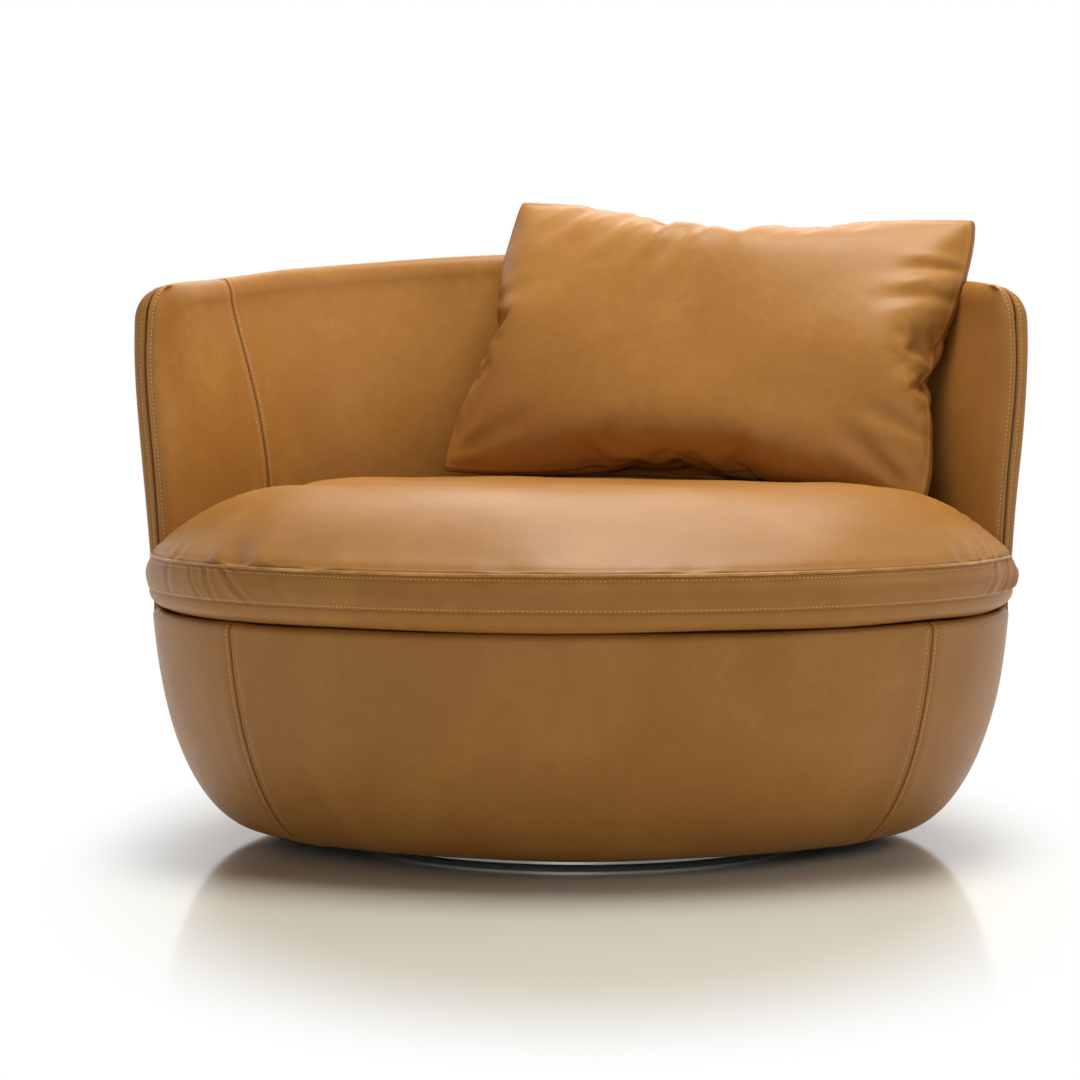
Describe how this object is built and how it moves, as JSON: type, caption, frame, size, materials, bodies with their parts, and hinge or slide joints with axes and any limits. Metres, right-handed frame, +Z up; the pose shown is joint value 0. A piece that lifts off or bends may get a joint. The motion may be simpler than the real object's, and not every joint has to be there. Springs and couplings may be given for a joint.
{
  "type": "swivel armchair",
  "caption": "Wide tub armchair in smooth tan leather with a curved wrap-around back, a loose round seat cushion and a loose back pillow, on a low swivel base.",
  "frame": {"origin": "on the floor, on the swivel axis", "axes": "+Z up along the swivel axis; the open front of the chair faces -Y; +X is to the right as seen from the front"},
  "size_m": [1.1068, 0.954, 0.832],
  "materials": {
    "leather_outer": "smooth semi-aniline, mottled, satin",
    "leather_inner": "smooth semi-aniline, mottled, satin",
    "leather_seat": "smooth semi-aniline, mottled, satin",
    "leather_pillow": "smooth semi-aniline, mottled, satin",
    "leather_welt": "smooth, lighter edge",
    "foam": "open-cell foam, matt",
    "filling": "fibre filling in a lining, matt",
    "felt": "pressed felt, matt",
    "lining": "woven lining, matt",
    "webbing": "elastic webbing, matt",
    "black_cloth": "non-woven cloth, matt",
    "zip_tape": "woven tape with coil teeth",
    "zip_metal": "brushed",
    "shell": "moulded plywood, raw",
    "board": "birch plywood, raw",
    "disc": "fine circular brush, satin",
    "bearing_steel": "ground",
    "ball_steel": "polished",
    "cage": "stamped",
    "plate": "black powder coat",
    "fastener": "zinc plated",
    "glide": "matt"
  },
  "bodies": {
    "floor_base": {"floor_disc": "disc", "floor_glides": "glide", "spindle": "bearing_steel", "spindle_nut": "fastener", "lower_race": "bearing_steel", "race_screws": "fastener"},
    "ball_ring": {"bearing_balls": "ball_steel", "ball_cage": "cage"},
    "tub": {"upper_race": "bearing_steel", "swivel_plate": "plate", "base_board": "board", "board_bolts": "fastener", "tee_nuts": "fastener", "dust_cover": "black_cloth", "bowl_shell": "shell", "back_shell": "shell", "base_ribs": "board", "deck_ring": "board", "edge_pad": "foam", "straps_lengthwise": "webbing", "straps_crosswise": "webbing", "deck_pad": "felt", "deck_cloth": "lining", "arm_foam_right": "foam", "arm_foam_left": "foam", "back_foam": "foam", "outer_cover_right": "leather_outer", "outer_cover_left": "leather_outer", "outer_cover_back": "leather_outer", "inner_cover_right": "leather_inner", "inner_cover_left": "leather_inner", "inner_cover_back": "leather_inner", "base_cover_front": "leather_outer", "base_cover_right": "leather_outer", "base_cover_left": "leather_outer"},
    "seat_cushion": {"seat_core": "foam", "seat_topper": "filling", "seat_top_cover": "leather_seat", "seat_band": "leather_seat", "seat_bottom_cover": "leather_seat", "seat_welt": "leather_welt", "seat_zip": "zip_tape"},
    "zip_slider": {"zip_slider": "zip_metal"},
    "pillow": {"pillow_fill": "filling", "pillow_front_cover": "leather_pillow", "pillow_back_cover": "leather_pillow", "pillow_border": "leather_pillow"}
  },
  "joints": [
    {"name": "swivel", "type": "hinge", "parent": "floor_base", "child": "tub", "pos_m": [0, 0, 0.0256], "axis": [0, 0, 1], "continuous": true},
    {"name": "ball_roll", "type": "hinge", "parent": "floor_base", "child": "ball_ring", "pos_m": [0, 0, 0.0173], "axis": [0, 0, 1], "continuous": true},
    {"name": "seat_lift", "type": "slide", "parent": "tub", "child": "seat_cushion", "axis": [0, 0, 1], "range_m": [0, 0.46]},
    {"name": "pillow_lift", "type": "slide", "parent": "seat_cushion", "child": "pillow", "axis": [0, 0, 1], "range_m": [0, 0.3]},
    {"name": "zip_pull", "type": "hinge", "parent": "seat_cushion", "child": "zip_slider", "pos_m": [0, -0.13452, 0.336], "axis": [0, 0, 1], "range_deg": [-64.8, 0]}
  ],
  "couplings": [
    {"joint": "ball_roll", "follows": "swivel", "ratio": 0.5}
  ]
}
